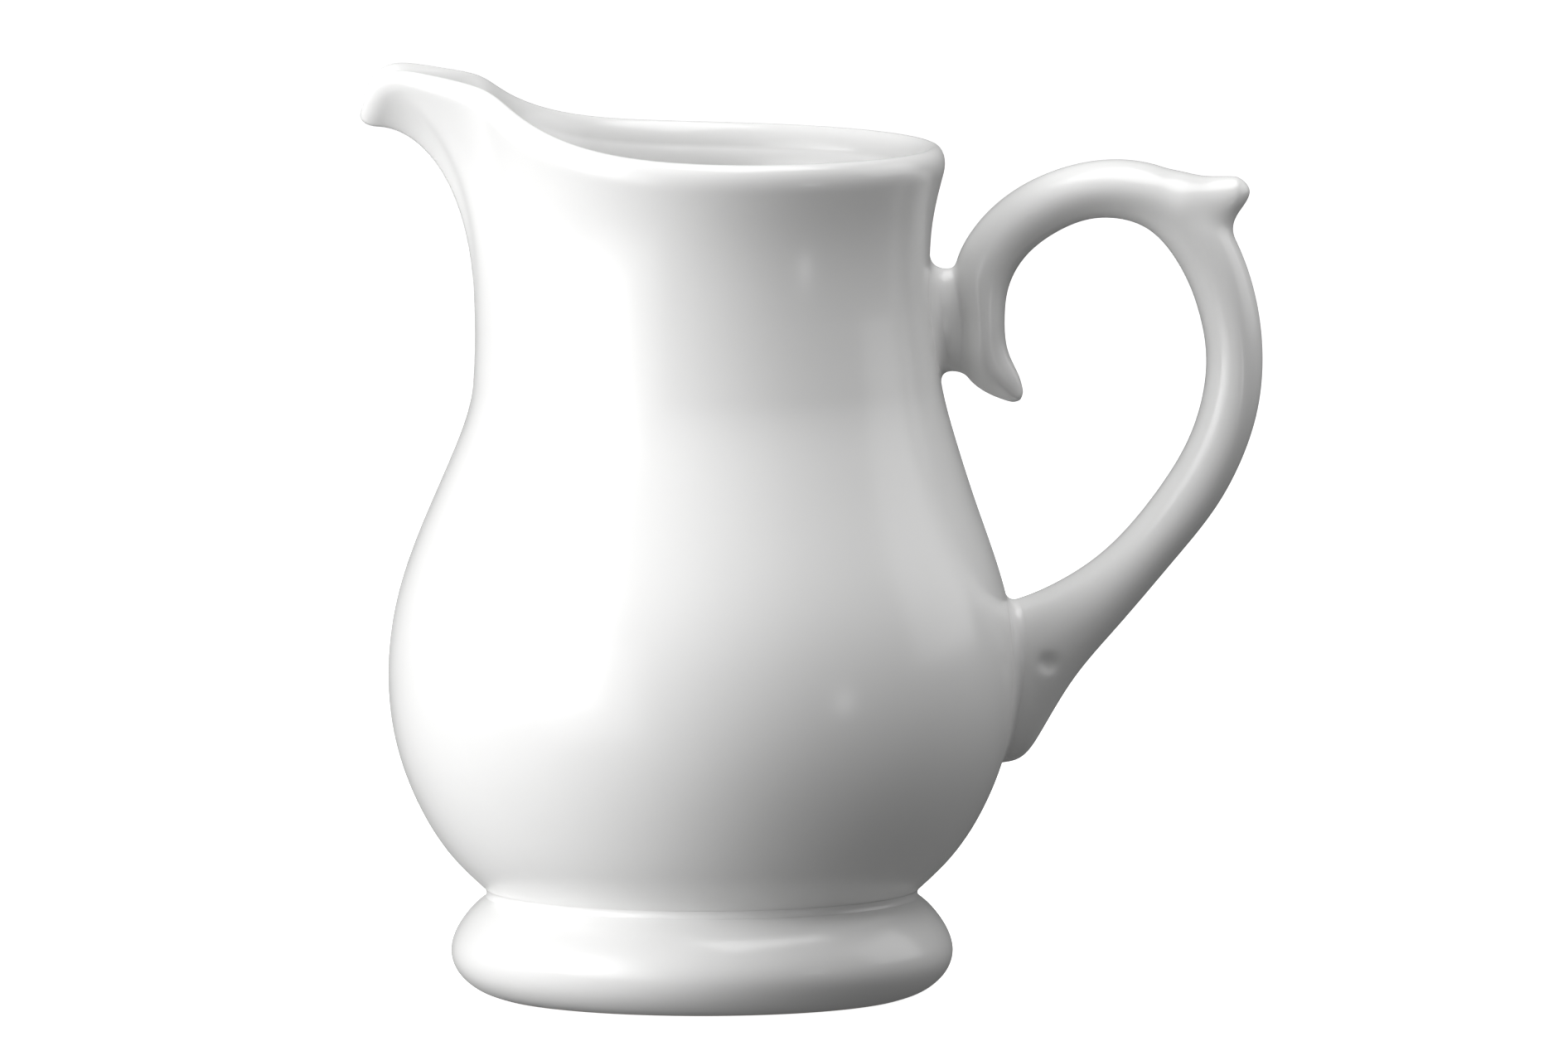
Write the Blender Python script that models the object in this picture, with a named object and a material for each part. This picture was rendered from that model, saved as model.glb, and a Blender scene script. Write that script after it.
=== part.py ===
"""Footed white china jug, built as its separate castings and the slip that lutes them together.

Pieces: a slip-cast body (bowl, neck, lip and drawn spout), a cast foot ring, a cast scroll handle,
and the three beads of casting slip that join them.  Dimensions are in millimetres and are turned
into metres when a mesh is made.  The spout points along -X, the handle along +X and +Z is up.
"""

import math

import bmesh
import bpy
import numpy as np

MM = 0.001

# ---- driving dimensions, millimetres ----------------------------------------------------------

SPOUT_REACH = 55.7          # vessel axis to the front of the spout
HANDLE_REACH = 90.4         # vessel axis to the back of the handle
AXIS_X = (SPOUT_REACH - HANDLE_REACH) / 2   # puts the middle of the jug on the origin

JOINT_GAP = 0.3             # clearance kept between pieces that touch
SLIP_FILM = 0.3             # thickness of the slip layer under the bowl
WALL = 3.9                  # wall of the body
SPOUT_WALL_LOSS = 1.1       # the wall thins by this much towards the spout's tip
SPOUT_WALL_ANGLE = math.radians(26)

# Outer side of the bowl and neck: (height, radius), from the waist up to where the spout starts.
WAIST_HEIGHT = 16.8
WAIST_RADIUS = 34.6
NECK_HEIGHT = 106.0
BOWL_PROFILE = (
    (WAIST_HEIGHT, WAIST_RADIUS),
    (21.2, 39.2),
    (29.5, 45.0),
    (40.5, 49.2),
    (52.0, 50.5),
    (65.0, 48.8),
    (80.0, 43.6),
    (88.0, 40.6),
    (96.0, 38.15),
    (NECK_HEIGHT, 36.95),
)
NECK_LEAN = 0.95            # the neck stands this far towards the handle
NECK_LEAN_HEIGHT = 95.0     # where it leans most
NECK_LEAN_SPREAD = 14.0

# Lip: radius and height of its outer side, away from the spout and at the spout.
LIP_OUTER_RADIUS = 39.4
LIP_HEIGHT = 135.1
LIP_RISE_AT_HANDLE = -0.5
LIP_ROLL = 1.0              # the lip rounds over within this height, as a share of the wall
LIP_CREST = 0.62            # its crest stands this share of the wall in from the outside
LIP_LEAN = math.radians(15)         # lean of the wall at the lip, from upright
SPOUT_RADIUS = 53.7                 # outer lip edge at the spout's tip
SPOUT_WIDTH_ANGLE = math.radians(14.2)
SPOUT_BLUNTNESS = 2.7              # above 2 the spout is blunter across than a plain bell curve
SPOUT_RISE = 14.4                   # how far the lip climbs to the spout
SPOUT_RISE_ANGLE = math.radians(40)
SPOUT_RISE_POWER = 1.8
SPOUT_DIP = 9.0                     # drop of the lip between the two ears, at the tip
SPOUT_DIP_ANGLE = math.radians(5.5)
SPOUT_LEAN = math.radians(73)       # extra lean of the wall at the tip: it pours out nearly level
SPOUT_LEAN_ANGLE = math.radians(9)
WALL_CURVE_START = 0.58             # share of the neck's height before the wall turns outward
SPOUT_CURVE_START = 0.66            # the same under the spout, where it stays upright for longer
NECK_TAPER = -0.06                  # the neck still narrows this much per height as it starts
WALL_CURVE_END = 9.5                # straight run of the wall into the lip

# Underside and floor of the bowl.
UNDERSIDE_HEIGHT = 12.5     # lowest point, on the axis
UNDERSIDE_EDGE_RADIUS = 33.8
UNDERSIDE_RISE = 3.7        # height gained out to the edge
FLOOR_HEIGHT = 16.6
FLOOR_PROFILE = ((0.0, FLOOR_HEIGHT), (14.0, 16.7), (24.0, 17.5))   # (radius, height)
FLOOR_WALL_HEIGHT = 21.5    # outer height above which the inside follows the wall

# Foot ring: (radius, height) down its outer side, then its inner side.
FOOT_OUTER_PROFILE = (
    (34.2, 15.3),
    (35.6, 14.9),
    (37.8, 13.0),
    (39.6, 10.2),
    (40.4, 6.9),
    (39.6, 4.2),
    (38.0, 2.3),
    (35.6, 0.75),
    (33.4, 0.0),
)
STANDING_RING_INNER_RADIUS = 31.6
FOOT_INNER_PROFILE = ((31.0, 0.8), (30.5, 5.0), (30.0, 10.0))
FOOT_TOP_INNER_RADIUS = 29.6

# Handle, seen from the side: (x, z) on the inner edge, (x, z) on the outer edge, half width in Y.
# It runs from the tip of the scroll hook, over the arch and down to the tail on the belly.
HANDLE_STATIONS = (
    ((51.9, 96.4), (50.7, 95.1), 1.2),
    ((51.2, 99.4), (46.3, 96.7), 2.6),
    ((49.5, 103.2), (42.2, 100.4), 4.0),
    ((48.8, 108.6), (41.4, 108.0), 4.8),
    ((49.5, 114.2), (40.7, 116.5), 5.1),
    ((52.4, 119.2), (44.2, 124.0), 5.3),
    ((58.4, 123.5), (52.2, 130.7), 5.5),
    ((65.6, 125.1), (65.8, 134.5), 5.8),
    ((72.2, 123.0), (77.4, 131.8), 6.1),
    ((77.1, 117.1), (84.9, 123.6), 6.0),
    ((80.2, 109.4), (89.4, 111.6), 5.6),
    ((81.3, 101.6), (90.4, 101.4), 5.3),
    ((79.6, 92.2), (88.8, 90.8), 5.2),
    ((75.2, 83.5), (83.9, 79.8), 5.1),
    ((68.0, 74.3), (76.6, 70.2), 5.1),
    ((59.2, 67.3), (66.6, 58.5), 5.3),
    ((51.6, 63.8), (59.5, 49.9), 5.4),
    ((46.0, 60.6), (54.7, 42.0), 4.8),
    ((43.5, 52.0), (50.9, 37.6), 3.2),
    ((42.8, 44.0), (46.0, 37.0), 1.6),
)

# Lug that bridges the scroll to the neck: (x, centre z, half height, half width).
LUG_STATIONS = (
    (45.4, 108.3, 7.2, 2.6),
    (42.4, 108.4, 7.6, 2.9),
    (38.5, 108.5, 8.3, 3.9),
    (33.0, 108.6, 8.9, 5.2),
)

# Thumb spur on top of the arch: (x, z, half height, half width).
SPUR_STATIONS = (
    (74.0, 126.8, 4.8, 4.8),
    (79.5, 128.1, 3.6, 4.4),
    (84.3, 127.7, 4.0, 3.6),
    (86.6, 128.7, 2.7, 2.5),
    (87.8, 129.2, 1.4, 1.4),
)

DIMPLE_X = 55.6             # thumb-sized press mark on the near side of the tail
DIMPLE_Z = 53.6
DIMPLE_RADIUS = 2.6
DIMPLE_DEPTH = 0.45

BEAD_SIZE = 2.0             # leg of the slip bead around the lug
TAIL_BEAD_SIZE = 2.6        # leg of the slip bead around the tail

GLAZE_COLOUR = (0.86, 0.86, 0.85)
GLAZE_ROUGHNESS = 0.08
SLIP_COLOUR = (0.82, 0.82, 0.81)
SLIP_ROUGHNESS = 0.12
CUTTER_COLOUR = (0.5, 0.5, 0.5)
CUTTER_ROUGHNESS = 0.5

# ---- mesh density -----------------------------------------------------------------------------

BODY_COLUMNS = 56
SPOUT_CROWDING = 0.5       # 0 spaces the columns evenly, nearer 1 crowds them at the spout
BOWL_ROWS = 13
NECK_ROWS = 8
LIP_ROWS = 6
FLOOR_ROWS = 3
FOOT_SEGMENTS = 60
FOOT_OUTER_POINTS = 12
HANDLE_SECTIONS = 48
HANDLE_SIDES = 14
LUG_SECTIONS = 6
SPUR_SECTIONS = 9
CUTTER_SIDES = 96
CUTTER_SECTIONS = 60
CUTTER_MARGIN = (4.0, 16.0)         # the cutter runs from above the waist to above the neck
BALL_SUBDIVISIONS = 4
SEARCH_STEPS = 81                   # steps along the handle when looking for a place on it
SEARCH_TURNS = 61
TAIL_START = 0.6                    # the tail lies beyond this share of the handle's length
HALVINGS = 40                       # halvings that home in on where the handle meets the body
SLOPE_STEP = 1e-3                   # small step for slopes of the handle and its clearance
FRAME_STEP = 1e-4                   # the same on the body's wall
SHARP_ANGLE = math.radians(50)      # edges that bend more than this are shaded as sharp
BEAD_COLUMNS = 28
BEAD_ARC_POINTS = 4

# ---- curves -----------------------------------------------------------------------------------


class Curve:
    """Natural cubic spline through rows of values at rising knots."""

    def __init__(self, knots, values):
        self.knots = np.asarray(knots, float)
        self.values = np.asarray(values, float)
        self.step = np.diff(self.knots)
        count = len(self.knots)
        matrix = np.eye(count)
        right = np.zeros(self.values.shape)
        slope = (np.diff(self.values, axis=0).T / self.step).T
        for i in range(1, count - 1):
            matrix[i, i - 1] = self.step[i - 1]
            matrix[i, i] = 2 * (self.step[i - 1] + self.step[i])
            matrix[i, i + 1] = self.step[i]
            right[i] = 6 * (slope[i] - slope[i - 1])
        self.bend = np.linalg.solve(matrix, right)

    def __call__(self, at):
        at = min(max(at, self.knots[0]), self.knots[-1])
        i = min(max(int(np.searchsorted(self.knots, at)) - 1, 0), len(self.step) - 1)
        left = (self.knots[i + 1] - at) / self.step[i]
        rest = 1 - left
        straight = left * self.values[i] + rest * self.values[i + 1]
        bow = (left ** 3 - left) * self.bend[i] + (rest ** 3 - rest) * self.bend[i + 1]
        return straight + bow * self.step[i] ** 2 / 6


def chord_knots(points):
    """Running length along a row of points, from 0 to 1, for use as spline knots."""
    lengths = np.linalg.norm(np.diff(np.asarray(points, float), axis=0), axis=1)
    running = np.concatenate(([0.0], np.cumsum(lengths)))
    return running / running[-1]


def curve_through(rows, place=slice(0, 2)):
    """Curve through rows of numbers, spaced by the distance between the points at place."""
    rows = np.array(rows, float)
    return Curve(chord_knots(rows[:, place]), rows)


def bell(offset, spread, power=2.0):
    """1 at offset 0, falling smoothly to 0 beyond the spread."""
    return math.exp(-(abs(offset) / spread) ** power)


BOWL_CURVE = Curve(*zip(*BOWL_PROFILE))
FOOT_CURVE = curve_through(FOOT_OUTER_PROFILE)
HANDLE_ROWS = [(*inner, *outer, half_width) for inner, outer, half_width in HANDLE_STATIONS]
HANDLE_CURVE = curve_through(HANDLE_ROWS, slice(0, 4))
LUG_CURVE = curve_through(LUG_STATIONS)
SPUR_CURVE = curve_through(SPUR_STATIONS)

# ---- body surface -----------------------------------------------------------------------------


def bowl_radius(height):
    """Outer radius of the bowl and neck at a height."""
    return float(BOWL_CURVE(height))


def neck_lean(height):
    """How far the section's centre stands towards the handle at a height."""
    return NECK_LEAN * bell(height - NECK_LEAN_HEIGHT, NECK_LEAN_SPREAD)


def lip_edge(angle):
    """Radius and height of the lip's outer side at an angle from the spout."""
    angle = math.remainder(angle, 2 * math.pi)
    spout = bell(angle, SPOUT_WIDTH_ANGLE, SPOUT_BLUNTNESS)
    radius = LIP_OUTER_RADIUS + (SPOUT_RADIUS - LIP_OUTER_RADIUS) * spout
    height = LIP_HEIGHT + LIP_RISE_AT_HANDLE * (1 - math.cos(angle)) / 2
    height += SPOUT_RISE * bell(angle, SPOUT_RISE_ANGLE, SPOUT_RISE_POWER)
    height -= SPOUT_DIP * bell(angle, SPOUT_DIP_ANGLE)
    return radius, height


def wall_lean(angle):
    """Lean of the wall at the lip, from upright."""
    angle = math.remainder(angle, 2 * math.pi)
    return LIP_LEAN + SPOUT_LEAN * bell(angle, SPOUT_LEAN_ANGLE)


def spout_share(angle):
    """1 in the middle of the spout, falling to 0 where the lip is level."""
    return bell(math.remainder(angle, 2 * math.pi), SPOUT_RISE_ANGLE)


def wall_thickness(angle, row):
    """The wall, a little thinner in the spout."""
    climb = max(row - 1, 0)
    climb *= climb * (3 - 2 * climb)
    spout = bell(math.remainder(angle, 2 * math.pi), SPOUT_WALL_ANGLE)
    return WALL - SPOUT_WALL_LOSS * spout * climb


def neck_point(angle, share):
    """Radius and height on the outer wall, from the top of the neck (0) to the lip's side (1)."""
    start = np.array((bowl_radius(NECK_HEIGHT), NECK_HEIGHT))
    edge = np.array(lip_edge(angle))
    lean = wall_lean(angle)
    into_lip = np.array((math.sin(lean), math.cos(lean)))
    end = edge - (LIP_ROLL - 0.5) * wall_thickness(angle, 2.0) * into_lip
    last = edge - WALL_CURVE_END * into_lip
    upright = WALL_CURVE_START + (SPOUT_CURVE_START - WALL_CURVE_START) * spout_share(angle)
    first = start + upright * (end[1] - start[1]) * np.array((NECK_TAPER, 1.0))
    rest = 1 - share
    curve = rest ** 3 * start + 3 * rest ** 2 * share * first
    return curve + 3 * rest * share ** 2 * last + share ** 3 * end


def outer_point(angle, row):
    """Point on the outer wall: row 0 to 1 covers the bowl, 1 to 2 the neck and the spout."""
    if row <= 1:
        height = WAIST_HEIGHT + row * (NECK_HEIGHT - WAIST_HEIGHT)
        radius = bowl_radius(height)
    else:
        radius, height = neck_point(angle, row - 1)
    x = neck_lean(height) - radius * math.cos(angle)
    return np.array((x, -radius * math.sin(angle), height))


def outer_frame(angle, row):
    """Point on the outer wall, its outward normal and the direction up the wall."""
    point = outer_point(angle, row)
    around = outer_point(angle + FRAME_STEP, row) - outer_point(angle - FRAME_STEP, row)
    low = max(row - FRAME_STEP, 0.0)
    high = min(row + FRAME_STEP, 2.0)
    up = outer_point(angle, high) - outer_point(angle, low)
    up /= np.linalg.norm(up)
    normal = np.cross(around, up)
    return point, normal / np.linalg.norm(normal), up


def underside_height(radius):
    """Height of the bowl's underside at a radius."""
    return UNDERSIDE_HEIGHT + UNDERSIDE_RISE * (radius / UNDERSIDE_EDGE_RADIUS) ** 2


def body_clearance(point):
    """Level distance of a point outside the bowl's and neck's outer wall, below the spout."""
    height = point[2]
    level = math.hypot(point[0] - neck_lean(height), point[1])
    return level - bowl_radius(height)


def body_normal(point):
    """Outward normal of the bowl's outer wall nearest to a point."""
    slopes = []
    for move in np.eye(3) * SLOPE_STEP:
        slopes.append(body_clearance(point + move) - body_clearance(point - move))
    slopes = np.array(slopes)
    return slopes / np.linalg.norm(slopes)


# ---- handle surface ---------------------------------------------------------------------------


def handle_surface(turn, along):
    """Point on the scroll handle: along runs hook to tail, turn goes around, 0 on the inner edge."""
    inner_x, inner_z, outer_x, outer_z, half_width = HANDLE_CURVE(along)
    reach = math.cos(turn) / 2
    x = (inner_x + outer_x) / 2 + (inner_x - outer_x) * reach
    z = (inner_z + outer_z) / 2 + (inner_z - outer_z) * reach
    return np.array((x, half_width * math.sin(turn), z))


def arm_surface(curve, turn, along):
    """Point on an arm of upright oval sections along a curve, turn 0 on its top."""
    x, height, half_height, half_width = curve(along)
    return np.array((x, half_width * math.sin(turn), height + half_height * math.cos(turn)))


def lug_surface(turn, along):
    """Point on the lug: along runs from the scroll to the neck."""
    return arm_surface(LUG_CURVE, turn, along)


def spur_surface(turn, along):
    """Point on the thumb spur: along runs from the arch to the tip."""
    return arm_surface(SPUR_CURVE, turn, along)


def near_side_y(x, z):
    """Y of the handle's near side where it is seen at x and z."""
    best = None
    for along in np.linspace(TAIL_START, 1, SEARCH_STEPS):
        for turn in np.linspace(-math.pi, 0, SEARCH_TURNS):
            point = handle_surface(turn, along)
            miss = math.hypot(point[0] - x, point[2] - z)
            if best is None or miss < best[0]:
                best = (miss, point[1])
    return best[1]


# ---- meshes -----------------------------------------------------------------------------------


def new_object(name, material, points, faces):
    """Make a smooth shaded object whose faces point out."""
    placed = [((x + AXIS_X) * MM, y * MM, z * MM) for x, y, z in points]
    mesh = bpy.data.meshes.new(name)
    mesh.from_pydata(placed, [], faces)
    tidy = bmesh.new()
    tidy.from_mesh(mesh)
    bmesh.ops.recalc_face_normals(tidy, faces=tidy.faces)
    tidy.to_mesh(mesh)
    tidy.free()
    mesh.materials.append(material)
    mesh.shade_smooth()
    mesh.set_sharp_from_angle(angle=SHARP_ANGLE)
    piece = bpy.data.objects.new(name, mesh)
    bpy.context.collection.objects.link(piece)
    return piece


def join_rings(count, ring_size, wrap=False):
    """Quads between neighbouring rings of points, and back to the first ring if they wrap."""
    faces = []
    for ring in range(count if wrap else count - 1):
        base = ring * ring_size
        above = ((ring + 1) % count) * ring_size
        for i in range(ring_size):
            j = (i + 1) % ring_size
            faces.append((base + i, base + j, above + j, above + i))
    return faces


def closed_rings(rings, first_tip, last_tip):
    """Points and faces of a skin over the rings, closed to a tip point at either end."""
    size = len(rings[0])
    points = [tuple(point) for ring in rings for point in ring]
    faces = join_rings(len(rings), size)
    first = len(points)
    points += [tuple(first_tip), tuple(last_tip)]
    top = (len(rings) - 1) * size
    for i in range(size):
        j = (i + 1) % size
        faces.append((first, j, i))
        faces.append((first + 1, top + i, top + j))
    return points, faces


def swept_solid(name, material, surface, sections, sides):
    """Closed solid from a surface(turn, along), with flat ends."""
    turns = [2 * math.pi * i / sides for i in range(sides)]
    rings = []
    for along in np.linspace(0, 1, sections):
        rings.append([surface(turn, along) for turn in turns])
    first_tip = np.mean(rings[0], axis=0)
    last_tip = np.mean(rings[-1], axis=0)
    points, faces = closed_rings(rings, first_tip, last_tip)
    return new_object(name, material, points, faces)


def turned_ring(name, material, profile, segments):
    """Solid of revolution about the vessel's axis, from a closed (radius, height) profile."""
    points = []
    for i in range(segments):
        angle = 2 * math.pi * i / segments
        points += [(r * math.cos(angle), r * math.sin(angle), z) for r, z in profile]
    faces = join_rings(segments, len(profile), wrap=True)
    return new_object(name, material, points, faces)


def column_angles(count):
    """Angles from the spout for the body's columns, crowded towards the spout."""
    even = [2 * math.pi * i / count for i in range(count)]
    return [angle - SPOUT_CROWDING * math.sin(angle) for angle in even]


def combine(target, tool, operation):
    """Apply a Boolean of the tool to the target and remove the tool."""
    cut = target.modifiers.new(operation.lower(), "BOOLEAN")
    cut.operation = operation
    cut.object = tool
    cut.solver = "EXACT"
    shaped = bpy.data.meshes.new_from_object(
        target.evaluated_get(bpy.context.evaluated_depsgraph_get()))
    target.modifiers.clear()
    target.data = shaped
    bpy.data.objects.remove(tool)


# ---- materials --------------------------------------------------------------------------------


def china_material(name, colour, roughness):
    """Ceramic: not metallic, with the given colour and roughness."""
    material = bpy.data.materials.new(name)
    material.use_nodes = True
    shader = material.node_tree.nodes["Principled BSDF"]
    shader.inputs["Base Color"].default_value = (*colour, 1.0)
    shader.inputs["Roughness"].default_value = roughness
    shader.inputs["Metallic"].default_value = 0.0
    return material


def cutter_material():
    """Plain grey for the shapes that only cut."""
    return china_material("cutter", CUTTER_COLOUR, CUTTER_ROUGHNESS)


# ---- pieces -----------------------------------------------------------------------------------


def make_body():
    """Bowl, neck, lip and spout: one thin casting with a closed, rounded floor."""
    angles = column_angles(BODY_COLUMNS)
    rings = []
    for radius in np.linspace(0, UNDERSIDE_EDGE_RADIUS, FLOOR_ROWS + 1)[1:]:
        height = underside_height(radius)
        rings.append([(-radius * math.cos(a), -radius * math.sin(a), height) for a in angles])
    bowl_rows = [i / BOWL_ROWS for i in range(BOWL_ROWS)]
    neck_rows = [1 + i / NECK_ROWS for i in range(NECK_ROWS + 1)]
    for row in bowl_rows + neck_rows:
        rings.append([outer_point(a, row) for a in angles])
    rings += lip_rings(angles)
    inner_rows = [row for row in bowl_rows + neck_rows
                  if WAIST_HEIGHT + row * (NECK_HEIGHT - WAIST_HEIGHT) > FLOOR_WALL_HEIGHT]
    for row in inner_rows[-2::-1]:
        rings.append([inner_point(a, row) for a in angles])
    for radius, height in FLOOR_PROFILE[:0:-1]:
        rings.append([(-radius * math.cos(a), -radius * math.sin(a), height) for a in angles])
    underside_tip = (0, 0, UNDERSIDE_HEIGHT)
    floor_tip = (0, 0, FLOOR_HEIGHT)
    points, faces = closed_rings(rings, underside_tip, floor_tip)
    glaze = china_material("body_glaze", GLAZE_COLOUR, GLAZE_ROUGHNESS)
    return new_object("body", glaze, points, faces)


def inner_point(angle, row):
    """Point on the inside of the wall."""
    point, normal, _ = outer_frame(angle, row)
    return point - wall_thickness(angle, row) * normal


def lip_rings(angles):
    """Rings over the rounded lip, from its outer side to its inner side."""
    frames = [(wall_thickness(angle, 2.0), *outer_frame(angle, 2.0)) for angle in angles]
    rings = []
    for i in range(1, LIP_ROWS + 1):
        turn = math.pi * i / LIP_ROWS
        side = LIP_CREST if turn < math.pi / 2 else 1 - LIP_CREST
        across = side * math.cos(turn) - LIP_CREST
        ring = []
        for wall, point, normal, up in frames:
            ring.append(point + wall * (across * normal + LIP_ROLL * math.sin(turn) * up))
        rings.append(ring)
    return rings


def make_foot():
    """Foot ring: rounded outside, flat standing ring, open underneath."""
    outer = [FOOT_CURVE(share) for share in np.linspace(0, 1, FOOT_OUTER_POINTS)]
    drop = 2 * JOINT_GAP + SLIP_FILM
    profile = [tuple(point) for point in outer]
    profile.append((STANDING_RING_INNER_RADIUS, 0.0))
    profile += FOOT_INNER_PROFILE
    profile.append((FOOT_TOP_INNER_RADIUS, underside_height(FOOT_TOP_INNER_RADIUS) - drop))
    glaze = china_material("foot_glaze", GLAZE_COLOUR, GLAZE_ROUGHNESS)
    return turned_ring("foot", glaze, profile, FOOT_SEGMENTS)


def make_foot_slip():
    """Slip layer between the bowl's underside and the foot ring."""
    edge = FOOT_OUTER_PROFILE[0][0] - JOINT_GAP
    radii = (FOOT_TOP_INNER_RADIUS, edge)
    upper = [(r, underside_height(r) - JOINT_GAP) for r in radii]
    lower = [(r, z - SLIP_FILM) for r, z in upper[::-1]]
    slip = china_material("slip_joint_foot_glaze", SLIP_COLOUR, SLIP_ROUGHNESS)
    return turned_ring("slip_joint_foot", slip, upper + lower, FOOT_SEGMENTS)


def make_body_cutter():
    """Solid just larger than the bowl and neck, to trim the handle's roots to the wall."""
    low, high = CUTTER_MARGIN
    heights = np.linspace(WAIST_HEIGHT + low, NECK_HEIGHT + high, CUTTER_SECTIONS)
    turns = [2 * math.pi * i / CUTTER_SIDES for i in range(CUTTER_SIDES)]
    rings = []
    for height in heights:
        radius = bowl_radius(height) + JOINT_GAP
        lean = neck_lean(height)
        rings.append([(lean + radius * math.cos(t), radius * math.sin(t), height) for t in turns])
    points, faces = closed_rings(rings, (0, 0, heights[0]), (0, 0, heights[-1]))
    return new_object("body_cutter", cutter_material(), points, faces)


def make_handle():
    """Scroll handle with its thumb spur and lug: one solid casting, trimmed to the body."""
    glaze = china_material("handle_glaze", GLAZE_COLOUR, GLAZE_ROUGHNESS)
    handle = swept_solid("handle", glaze, handle_surface, HANDLE_SECTIONS, HANDLE_SIDES)
    lug = swept_solid("lug", glaze, lug_surface, LUG_SECTIONS, HANDLE_SIDES)
    spur = swept_solid("spur", glaze, spur_surface, SPUR_SECTIONS, HANDLE_SIDES)
    combine(handle, lug, "UNION")
    combine(handle, spur, "UNION")
    combine(handle, make_body_cutter(), "DIFFERENCE")
    combine(handle, make_dimple_cutter(), "DIFFERENCE")
    return handle


def make_dimple_cutter():
    """Ball that presses a shallow round mark into the near side of the tail."""
    ball_radius = (DIMPLE_RADIUS ** 2 + DIMPLE_DEPTH ** 2) / (2 * DIMPLE_DEPTH)
    centre_y = near_side_y(DIMPLE_X, DIMPLE_Z) + DIMPLE_DEPTH - ball_radius
    shape = bmesh.new()
    bmesh.ops.create_icosphere(shape, subdivisions=BALL_SUBDIVISIONS, radius=ball_radius)
    points = [(v.co.x + DIMPLE_X, v.co.y + centre_y, v.co.z + DIMPLE_Z) for v in shape.verts]
    faces = [tuple(v.index for v in face.verts) for face in shape.faces]
    shape.free()
    return new_object("dimple_cutter", cutter_material(), points, faces)


def root_line(surface, turn):
    """Where a line along the handle meets the body, as a share of its length."""
    outside, inside = root_search_range(surface, turn)
    for _ in range(HALVINGS):
        middle = (outside + inside) / 2
        if body_clearance(surface(turn, middle)) > 0:
            outside = middle
        else:
            inside = middle
    return (outside + inside) / 2


def root_search_range(surface, turn):
    """Last step outside the body and the first one inside it, walking back from the root end."""
    steps = np.linspace(1, 0, SEARCH_STEPS)
    for inner_step, outer_step in zip(steps[:-1], steps[1:]):
        if body_clearance(surface(turn, outer_step)) > 0:
            return outer_step, inner_step
    return 0.0, 1.0


def bead_section(surface, turn, size):
    """Section of the slip bead at one place around a root: a hollow-faced triangle."""
    share = root_line(surface, turn)
    root = surface(turn, share)
    back = surface(turn, share - SLOPE_STEP) - root
    along_wall = back / np.linalg.norm(back)
    around = surface(turn + SLOPE_STEP, share) - surface(turn - SLOPE_STEP, share)
    side_normal = np.cross(around, along_wall)
    side_normal /= np.linalg.norm(side_normal)
    middle = (surface(turn, share) + surface(turn + math.pi, share)) / 2
    if np.dot(side_normal, root - middle) < 0:
        side_normal = -side_normal
    wall_normal = body_normal(root)
    away = side_normal - np.dot(side_normal, wall_normal) * wall_normal
    away /= np.linalg.norm(away)
    on_handle = surface(turn, share - SLOPE_STEP * size / np.linalg.norm(back))
    on_body = root + size * away
    on_body -= body_clearance(on_body) * body_normal(on_body)
    corner = root + JOINT_GAP * (side_normal + wall_normal)
    on_handle = on_handle + JOINT_GAP * side_normal
    on_body = on_body + JOINT_GAP * wall_normal
    section = [corner]
    for i in range(BEAD_ARC_POINTS + 1):
        part = i / BEAD_ARC_POINTS
        rest = 1 - part
        section.append(rest ** 2 * on_handle + 2 * rest * part * corner + part ** 2 * on_body)
    return section


def make_bead(name, surface, size):
    """Ring of slip in the corner between the handle and the body."""
    points = []
    for i in range(BEAD_COLUMNS):
        points += bead_section(surface, 2 * math.pi * i / BEAD_COLUMNS, size)
    faces = join_rings(BEAD_COLUMNS, BEAD_ARC_POINTS + 2, wrap=True)
    slip = china_material(name + "_glaze", SLIP_COLOUR, SLIP_ROUGHNESS)
    return new_object(name, slip, points, faces)


def main():
    for old in list(bpy.data.objects):
        bpy.data.objects.remove(old)
    make_body()
    make_foot()
    make_foot_slip()
    make_handle()
    make_bead("slip_joint_top", lug_surface, BEAD_SIZE)
    make_bead("slip_joint_bottom", handle_surface, TAIL_BEAD_SIZE)


main()
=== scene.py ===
"""Looks of the footed white china jug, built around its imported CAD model.

The jug's surfaces are worked out in millimetres, with x measured from the vessel's axis, and are
placed by the CAD foot's box.  The spout points along -X, the handle along +X and +Z is up.
"""

import math

import bmesh
import bpy
import numpy as np
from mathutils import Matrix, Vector
from mathutils.bvhtree import BVHTree


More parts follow.
